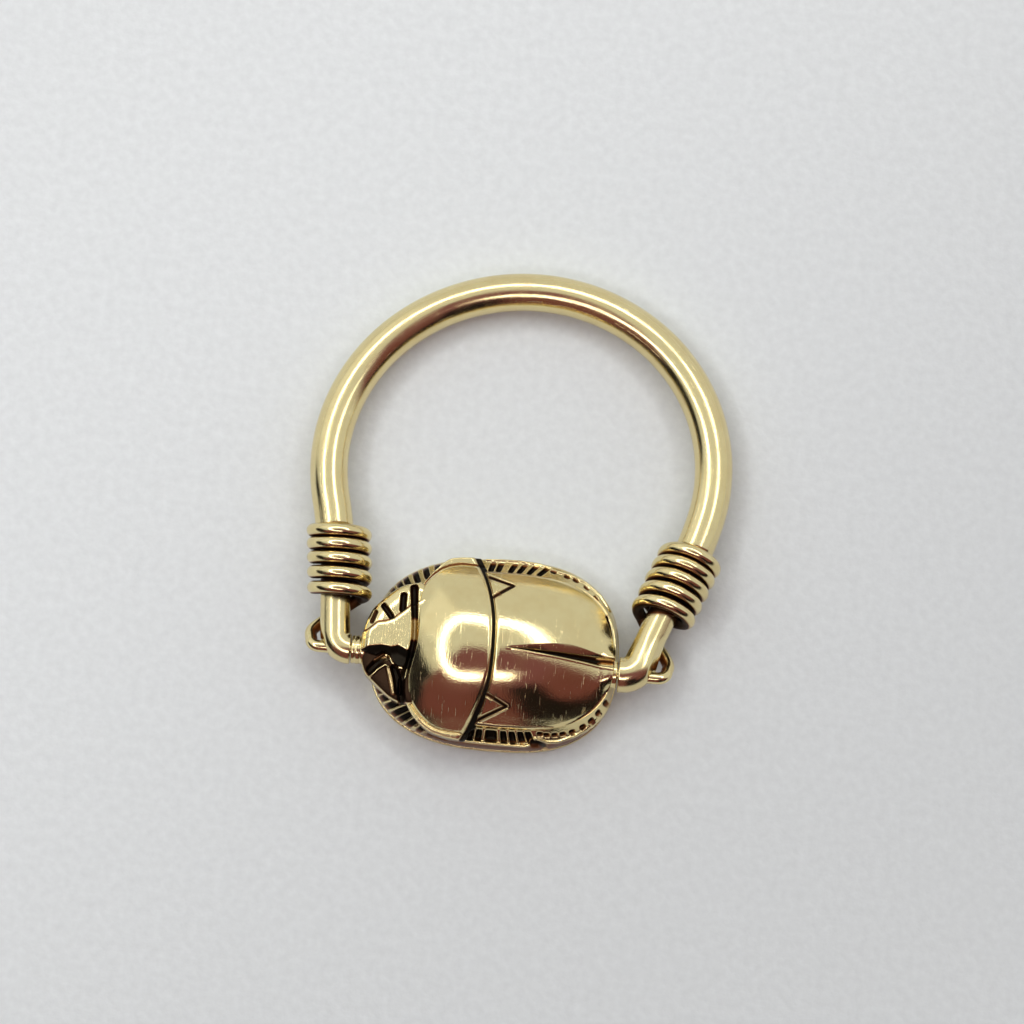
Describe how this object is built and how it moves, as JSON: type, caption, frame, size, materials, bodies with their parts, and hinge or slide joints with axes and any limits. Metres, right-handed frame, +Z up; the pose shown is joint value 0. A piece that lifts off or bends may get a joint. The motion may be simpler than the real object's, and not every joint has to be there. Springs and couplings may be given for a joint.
{
  "type": "swivel ring",
  "caption": "Finger ring with a carved beetle that turns on a wire held between the drilled ends of a bent hoop, its wire bound in coils on both legs.",
  "frame": {"origin": "bottom centre of the whole ring's bounding box, on the surface that the ring lies on", "axes": "+X along the swivel axis from the beetle's head to its tail, +Y from the swivel axis to the far side of the hoop, +Z up, out of the beetle's back"},
  "size_m": [0.0224, 0.0256, 0.005],
  "materials": {
    "rod_gold": "soft polished, lightly worn",
    "wire_gold": "drawn and polished",
    "cast_gold": "polished casting with darkened carving and fine scratches",
    "plate_gold": "rolled sheet, worn satin",
    "tube_gold": "drawn tube, polished"
  },
  "bodies": {
    "hoop": {"hoop": "rod_gold", "swivel_wire": "wire_gold"},
    "scarab": {"scarab_back": "cast_gold", "base_plate": "plate_gold", "pivot_tube": "tube_gold"}
  },
  "joints": [
    {"name": "scarab_swivel", "type": "hinge", "parent": "hoop", "child": "scarab", "pos_m": [-0.0008, -0.00835, 0.0022], "axis": [1, 0, 0], "continuous": true}
  ]
}
